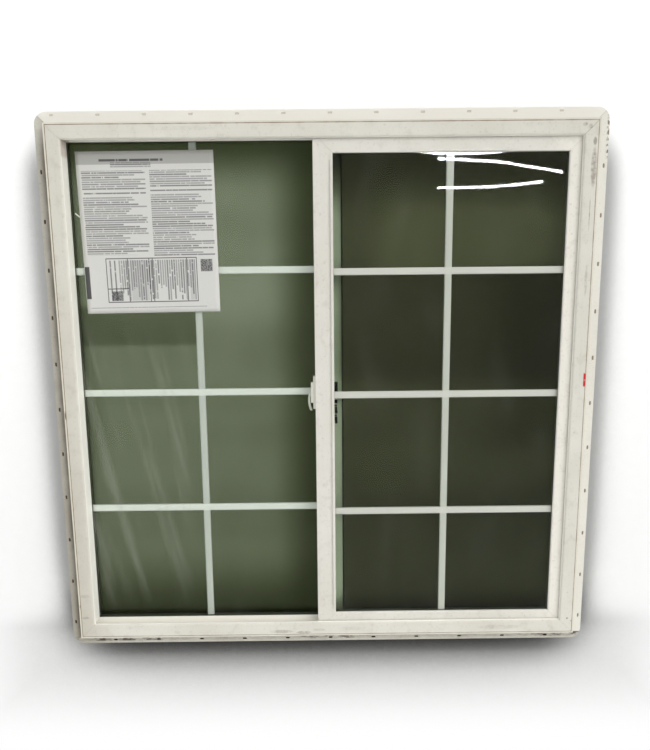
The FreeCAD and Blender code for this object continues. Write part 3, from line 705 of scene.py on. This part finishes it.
def paper_print():
    """White paper with a grey head, two columns of grey dashes and a ruled form: no words.

    Places on the sheet are shares of its width from the left and of its height from the top.
    """
    dark_ink = linear(44, 44, 48)
    graph = Graph("label_paper")
    place = graph.node("ShaderNodeSeparateXYZ")
    graph.feed(place.inputs[0], graph.node("ShaderNodeUVMap", uv_map="sheet").outputs[0])
    u, v = place.outputs[:2]

    def patch(left, right, top, bottom, soft=0.003):
        return graph.times(graph.between(u, left, right, soft), graph.between(v, top, bottom, soft))

    def dashes(along, across, pitch, word, shift, start=0.0, width=4.0):
        """Rows of broken dashes from start, some of them short, some heavy and a few missing."""
        lines = graph.math("DIVIDE", across, pitch)
        row = graph.math("FLOOR", lines)
        ink = graph.between(graph.math("FRACT", lines), 0.22, 0.74, 0.12)
        spot = graph.vector(graph.times(along, word), graph.times(row, 3.7))
        words = graph.noise(1.0, detail=1.0, roughness=0.5, shift=shift, spot=spot)
        draw = graph.node("ShaderNodeTexWhiteNoise", noise_dimensions="1D")
        graph.feed(draw.inputs["W"], graph.add(row, shift))
        chance = draw.outputs["Value"]
        kept = graph.step(chance, 0.05, 0.09)
        reach = graph.add(graph.times(chance, 0.9 * width), start + 0.5 * width)
        ragged = graph.step(graph.math("SUBTRACT", reach, along), 0.0, 0.004)
        heavy = graph.step(graph.math("FRACT", graph.times(chance, 7.0)), 0.70, 0.75, 0.72, 1.0)
        return graph.times(ink, graph.step(words, 0.30, 0.42), kept, ragged, heavy)

    def rules(value, places):
        lines = [graph.step(graph.away(value, place), 0.0018, 0.0042, 1.0, 0.0) for place in places]
        return graph.most(*lines)

    row_pitch = 0.0137
    left_rows = graph.times(patch(0.035, 0.495, 0.118, 0.632), dashes(u, v, row_pitch, 70.0, 1.0, 0.035, 0.46))
    right_rows = graph.times(patch(0.530, 0.980, 0.118, 0.640), dashes(u, v, row_pitch, 66.0, 2.0, 0.530, 0.45))
    heading = graph.times(patch(0.17, 0.63, 0.040, 0.062), dashes(u, v, 0.022, 46.0, 3.0))
    sub_heading = graph.times(patch(0.25, 0.54, 0.068, 0.100), dashes(u, v, 0.0125, 90.0, 4.0))
    footer = graph.times(patch(0.03, 0.90, 0.950, 0.966), dashes(u, v, 0.016, 80.0, 5.0))
    form_rows = graph.times(patch(0.185, 0.825, 0.668, 0.920), dashes(v, u, 0.0170, 40.0, 6.0, 0.668, 0.252))
    form_lines = graph.most(
        graph.times(rules(u, (0.165, 0.325, 0.485, 0.510, 0.765, 0.838)), patch(0.16, 0.845, 0.655, 0.930)),
        graph.times(rules(v, (0.655, 0.930)), patch(0.165, 0.838, 0.64, 0.94)),
        graph.times(rules(v, (0.845,)), patch(0.165, 0.325, 0.84, 0.85)),
    )
    solid = graph.most(
        patch(0.870, 0.955, 0.668, 0.742),
        patch(0.195, 0.275, 0.862, 0.920),
    )
    grey_form = graph.most(patch(0.345, 0.475, 0.668, 0.920), patch(0.785, 0.825, 0.668, 0.920))

    fibre = graph.noise(700.0, detail=2.0, shift=1.0)
    creased = graph.noise(14.0, detail=3.0, shift=2.0)
    paper = graph.mix(graph.step(fibre, 0.3, 0.7), linear(217, 217, 213), linear(207, 207, 203))
    paper = graph.mix(patch(-1.0, 2.0, -1.0, 0.078), paper, linear(175, 175, 171))
    paper = graph.mix(graph.times(grey_form, 0.35), paper, linear(150, 150, 152))
    ink_light = graph.most(left_rows, right_rows, footer, sub_heading, form_rows)
    paper = graph.mix(graph.times(ink_light, 0.74), paper, linear(84, 84, 88))
    paper = graph.mix(graph.times(heading, 0.80), paper, linear(40, 40, 44))
    paper = graph.mix(graph.times(form_lines, 0.85), paper, linear(40, 38, 46))
    blotchy = graph.step(graph.noise(420.0, detail=2.0, shift=3.0), 0.42, 0.58, 0.55, 0.92)
    paper = graph.mix(graph.times(solid, blotchy), paper, dark_ink)
    paper = graph.mix(graph.times(patch(0.005, 0.036, 0.705, 0.905), 0.90), paper, dark_ink)
    normal = graph.bump(graph.add(graph.times(fibre, 0.1), creased), 0.25, 0.0015)
    surface = graph.shader(
        "ShaderNodeBsdfPrincipled",
        base_color=paper,
        roughness=0.55,
        normal=normal,
        specular_ior_level=0.3,
    )
    return graph.finish(surface)


def label_sheet():
    """A paper sheet that clings to the fixed pane, a little wavy, with one corner lifting."""
    corners = {
        (0, 0): Vector((-0.5499, 0.0, 1.1584)),
        (1, 0): Vector((-0.2429, 0.0, 1.1598)),
        (0, 1): Vector((-0.5442, 0.0, 0.7990)),
        (1, 1): Vector((-0.2391, 0.0, 0.8020)),
    }
    glass_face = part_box("fixed_glass_inner")[0].y
    columns, rows = 30, 36
    thick = 0.25 * MM
    shell = bmesh.new()
    sheet_uv = shell.loops.layers.uv.new("sheet")
    layers = []
    places = {}
    for lift in (0.0, thick):
        layer = []
        for j in range(rows + 1):
            for i in range(columns + 1):
                u = i / columns
                v = j / rows
                top = corners[0, 0].lerp(corners[1, 0], u)
                low = corners[0, 1].lerp(corners[1, 1], u)
                spot = top.lerp(low, v)
                wave = 0.25 + 0.25 * math.sin(9.0 * u + 2.0 * v) * math.sin(7.0 * v + 1.0)
                curl = 2.6 * max(0.0, u + v - 1.72) ** 2 / 0.0784
                spot.y = glass_face - (0.05 + wave + curl) * MM - lift
                corner = shell.verts.new(spot)
                places[corner] = (u, v)
                layer.append(corner)
        layers.append(layer)
    back, front = layers
    width = columns + 1
    for j in range(rows):
        for i in range(columns):
            loop = [j * width + i, j * width + i + 1, (j + 1) * width + i + 1, (j + 1) * width + i]
            shell.faces.new([back[k] for k in loop])
            shell.faces.new([front[k] for k in reversed(loop)])
    rim = list(range(width))
    rim += [j * width + columns for j in range(1, rows + 1)]
    rim += [rows * width + i for i in range(columns - 1, -1, -1)]
    rim += [j * width for j in range(rows - 1, 0, -1)]
    for here, there in zip(rim, rim[1:] + rim[:1]):
        shell.faces.new([back[there], back[here], front[here], front[there]])
    for face in shell.faces:
        face.smooth = True
        for corner in face.loops:
            corner[sheet_uv].uv = places[corner.vert]
    bmesh.ops.recalc_face_normals(shell, faces=shell.faces)
    data = bpy.data.meshes.new("label_sheet")
    shell.to_mesh(data)
    shell.free()
    return new_piece("label_sheet", data, paper_print())


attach(label_sheet(), "root")


def ink_marks():
    """Dark plain blots on the screen's left bar, as flat rounded chips."""
    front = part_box("screen_bar_left")[0].y
    thick, round_corner = 0.2, 1.2
    # x, z, half width and half height in millimetres
    blots = [(25.8, 619.9, 4.6, 12.5), (25.6, 584.6, 4.0, 4.4)]
    for k in range(6):
        small = (3.4 - 0.3 * (k % 2), 2.2 + 1.5 * ((k * 2) % 3))
        blots.append((25.8 + 0.5 * (k % 3 - 1), 575.2 - 8.1 * k, *small))
    shell = bmesh.new()
    for x, z, half_width, half_height in blots:
        made = bmesh.ops.create_cube(shell, size=1.0)
        grow = Matrix.Diagonal((2 * half_width * MM, thick * MM, 2 * half_height * MM, 1.0))
        move = Matrix.Translation((x * MM, front - 0.5 * thick * MM, z * MM))
        bmesh.ops.transform(shell, matrix=move @ grow, verts=made["verts"])
        edges = {edge for corner in made["verts"] for edge in corner.link_edges}
        sides = [edge for edge in edges if abs(edge.verts[0].co.y - edge.verts[1].co.y) > 0.0001]
        bmesh.ops.bevel(shell, geom=sides, offset=round_corner * MM, segments=4, affect="EDGES", profile=0.5)
    data = bpy.data.meshes.new("screen_ink_marks")
    shell.to_mesh(data)
    shell.free()
    return new_piece("screen_ink_marks", data, painted("ink_black", (6, 6, 6), (14, 15, 13), 0.5, 0.0002))


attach(ink_marks(), "root")


# Stage: floor, backdrop, lamps and camera
def one_sided(graph, surface):
    """A finished material that shows on the front of a card only."""
    clear = graph.shader("ShaderNodeBsdfTransparent", color=WHITE)
    behind = graph.node("ShaderNodeNewGeometry").outputs["Backfacing"]
    return graph.finish(graph.blend(behind, surface, clear))


def pale_stage(name, near, far):
    """Matte white that keeps the window's shadow from the lamps and adds a painted shadow, darkened by the occlusion
    node and shaped by height, and is plain white behind the glass and away from the window.

    near and far say how far outside the window the plain white starts and is full.
    """
    shadow_reach, shadow_samples = 0.40, 32
    # The painted shadow is deep and wide below the sill line and thin beside the jambs
    sill_line = (-0.03, 0.12)
    graph = Graph(name)
    beside = graph.math("SUBTRACT", graph.math("ABSOLUTE", graph.x), FIN_HALF)
    beyond = graph.math("SUBTRACT", graph.away(graph.z, FRAME_MIDDLE[1]), FIN_HALF)
    outside = graph.most(beside, beyond)
    reach = graph.most(outside, graph.math("SUBTRACT", graph.math("ABSOLUTE", graph.y), 0.07))
    path = graph.node("ShaderNodeLightPath")
    seen = graph.most(
        path.outputs["Is Camera Ray"], path.outputs["Is Glossy Ray"], path.outputs["Is Transmission Ray"]
    )
    open_field = graph.most(graph.step(reach, near, far), graph.step(outside, -0.06, -0.03, 1.0, 0.0))
    fade = graph.times(open_field, seen)
    grain = graph.noise(40.0, shift=1.0)
    pale = graph.mix(grain, linear(246, 246, 245), linear(250, 250, 249))
    depth = graph.times(graph.step(graph.z, 1.10, 1.26, 1.0, 0.06), graph.step(graph.z, -0.40, -0.25))
    low = graph.step(graph.z, *sill_line, 0.96, 0.56)
    # Painted shadow: occlusion near the window mixes dark grey into the matte colour
    occlusion_shade = graph.step(graph.shade(shadow_reach, shadow_samples), 0.75, 1.05, 1.0, 0.0)
    shade = graph.times(graph.math("POWER", occlusion_shade, graph.step(graph.z, *sill_line, 0.85, 4.8)), depth, low)
    matte = graph.shader("ShaderNodeBsdfDiffuse", color=graph.mix(shade, pale, linear(40, 40, 40)))
    white = graph.shader("ShaderNodeEmission", color=WHITE, strength=1.0)
    return one_sided(graph, graph.blend(fade, matte, white))


def card(name, corners, material):
    data = bpy.data.meshes.new(name)
    data.from_pydata(corners, [], [(0, 1, 2, 3)])
    item = new_piece(name, data, material)
    return item


def upright_card(name, low, high, depth, material):
    """A card that faces the room, between two corners given as x and z, which lights and shades nothing else."""
    corners = [(low[0], depth, low[1]), (high[0], depth, low[1]), (high[0], depth, high[1]), (low[0], depth, high[1])]
    item = card(name, corners, material)
    item.visible_diffuse = False
    item.visible_shadow = False
    return item


STAGE_HALF, WALL_TOP = 6.0, 4.0
FLOOR_Z = cad_box[0].z - 0.75
WALL_Y = cad_box[1].y + 0.040
card(
    "floor",
    [
        (-STAGE_HALF, -STAGE_HALF, FLOOR_Z),
        (STAGE_HALF, -STAGE_HALF, FLOOR_Z),
        (STAGE_HALF, STAGE_HALF, FLOOR_Z),
        (-STAGE_HALF, STAGE_HALF, FLOOR_Z),
    ],
    pale_stage("stage_floor", 0.3, 1.2),
)
wall = upright_card(
    "backdrop", (-STAGE_HALF, FLOOR_Z), (STAGE_HALF, WALL_TOP), WALL_Y, pale_stage("stage_wall", 0.10, 0.34)
)


def slot_shade_card(name, tone, low, high):
    """A glowing card just behind one side of the nail fin, so that its slots show a painted shade."""
    graph = Graph("stage_" + name)
    plain = graph.shader("ShaderNodeEmission", color=linear(*tone), strength=1.0)
    upright_card("slot_shade_card_" + name, low, high, 0.0045, one_sided(graph, plain))


# How far outside the frame the glowing painted-shade cards begin and end, and where they stop short of the fin's
# corners
NEAR_SLOT, FAR_SLOT, CARD_END = 0.013, 0.024, 0.600
frame_low = FRAME_MIDDLE[1] - FRAME_HALF[1]
frame_top = FRAME_MIDDLE[1] + FRAME_HALF[1]
side_near, side_far = FRAME_HALF[0] + NEAR_SLOT, FRAME_HALF[0] + FAR_SLOT
slot_shade_card("head", (204, 198, 184), (-CARD_END, frame_top + NEAR_SLOT), (CARD_END, frame_top + FAR_SLOT))
slot_shade_card("sill", (34, 28, 24), (-CARD_END, frame_low - FAR_SLOT), (CARD_END, frame_low - NEAR_SLOT))
slot_shade_card("left", (78, 66, 52), (-side_far, frame_low), (-side_near, frame_top))
slot_shade_card("right", (150, 140, 120), (side_near, frame_low), (side_far, frame_top))


def lamp(name, kind, toward, strength):
    """A lamp that mirrors don't show and that shines from the side that toward points to."""
    data = bpy.data.lights.new(name, kind)
    data.energy = strength
    item = bpy.data.objects.new(name, data)
    item.rotation_euler = (-Vector(toward)).to_track_quat("-Z", "Y").to_euler()
    item.visible_glossy = False
    bpy.context.scene.collection.objects.link(item)
    return item


def light_only(item, targets, state):
    """Let a lamp light only these things, or everything but them."""
    group = bpy.data.collections.new(item.name + "_reach")
    for target in targets:
        group.objects.link(target)
    for member in group.collection_objects:
        member.light_linking.link_state = state
    item.light_linking.receiver_collection = group


SUN_SPREAD, SUN_TINT = math.radians(40.0), (1.0, 0.99, 0.97)
SUNS = {
    "key": ((0.0, -0.8, 1.0), 0.67),
    "fill_low": ((1.0, -0.30, 0.25), 0.30),
    "fill_right": ((1.0, -1.0, 0.7), 1.62),
    "fill_left": ((-1.0, -1.0, 0.5), 0.34),
    "fill_back": ((0.4, 1.0, 0.8), 1.30),
}
for name, (toward, strength) in SUNS.items():
    sun = lamp(name, "SUN", toward, strength)
    sun.data.angle = SUN_SPREAD
    sun.data.color = SUN_TINT
    light_only(sun, [wall], "EXCLUDE")

WALL_LAMP_PLACE, WALL_LAMP_TARGET = Vector((0.0, -3.5, 4.2)), Vector((0.0, 0.0, 0.3))
wall_lamp = lamp("wall_top", "AREA", WALL_LAMP_PLACE - WALL_LAMP_TARGET, 310.0)
wall_lamp.location = WALL_LAMP_PLACE
wall_lamp.data.shape = "RECTANGLE"
wall_lamp.data.size, wall_lamp.data.size_y = 7.0, 1.6
light_only(wall_lamp, [wall], "INCLUDE")


# Lamp tubes behind the camera, mirrored in the sash glass: x and z of their bends in millimetres
TUBE_DEPTH, TUBE_RADIUS, TUBE_GLOW = -3970, 0.010, 330.0
TUBES = {
    "tube_high": ((755, 1722), (1005, 1712), (1239, 1711), (1433, 1724)),
    "tube_middle": ((912, 1674), (1318, 1661), (1594, 1617), (1894, 1565)),
    "tube_low": ((908, 1456), (1247, 1453), (1522, 1470), (1740, 1496)),
}


def tube_reflection(name, bends):
    """A thin lamp tube behind the camera that only the sash glass shows."""
    curve = bpy.data.curves.new(name, "CURVE")
    curve.dimensions = "3D"
    curve.bevel_depth = TUBE_RADIUS
    curve.bevel_resolution = 2
    spline = curve.splines.new("NURBS")
    spline.points.add(len(bends) - 1)
    for knot, (x, z) in zip(spline.points, bends):
        knot.co = (x * MM, TUBE_DEPTH * MM, z * MM, 1.0)
    spline.order_u = 3
    spline.use_endpoint_u = True
    graph = Graph(name)
    glow = graph.shader("ShaderNodeEmission", color=WHITE, strength=TUBE_GLOW)
    curve.materials.append(graph.finish(glow))
    item = bpy.data.objects.new(name, curve)
    bpy.context.scene.collection.objects.link(item)
    item.visible_camera = False
    item.visible_diffuse = False
    item.visible_transmission = False
    item.visible_shadow = False
    light_only(item, [nodes["sash_glass_inner"]], "INCLUDE")


for name, bends in TUBES.items():
    tube_reflection(name, bends)


def world_light():
    """A soft dim world that looks white to the camera, mirrors and glass."""
    world = bpy.data.worlds.new("studio")
    world.use_nodes = True
    tree = world.node_tree
    tree.nodes.clear()
    path = tree.nodes.new("ShaderNodeLightPath")
    seen = path.outputs["Is Camera Ray"]
    for kind in ("Is Glossy Ray", "Is Transmission Ray"):
        either = tree.nodes.new("ShaderNodeMath")
        either.operation = "MAXIMUM"
        tree.links.new(seen, either.inputs[0])
        tree.links.new(path.outputs[kind], either.inputs[1])
        seen = either.outputs[0]
    blend = tree.nodes.new("ShaderNodeMixShader")
    tree.links.new(seen, blend.inputs[0])
    soft, white = ((0.95, 0.97, 1.0, 1.0), 0.22), (WHITE, 1.0)
    for socket, (colour, strength) in zip(blend.inputs[1:], (soft, white)):
        light = tree.nodes.new("ShaderNodeBackground")
        light.inputs["Color"].default_value = colour
        light.inputs["Strength"].default_value = strength
        tree.links.new(light.outputs[0], socket)
    output = tree.nodes.new("ShaderNodeOutputWorld")
    tree.links.new(blend.outputs[0], output.inputs["Surface"])
    bpy.context.scene.world = world


world_light()


def camera():
    """The photograph's viewpoint, from a fit to the nail slots and frame corners of a 650 by 750 picture."""
    focal_pixels, picture_height, sensor = 680.0, 750.0, 36.0
    data = bpy.data.cameras.new("camera")
    data.sensor_width = sensor
    data.lens = focal_pixels / picture_height * sensor
    item = bpy.data.objects.new("camera", data)
    bpy.context.scene.collection.objects.link(item)
    right = Vector((0.99994, -0.005045, -0.009716))
    down = Vector((-0.010431, -0.169820, -0.985420))
    ahead = Vector((0.003321, 0.985462, -0.169862))
    turn = Matrix((right, -down, -ahead)).transposed()
    place = (-0.00478, -1.56042, 0.92110)
    item.matrix_world = Matrix.Translation(place) @ turn.to_4x4()
    bpy.context.scene.camera = item


camera()
bpy.context.scene.view_settings.view_transform = "Standard"
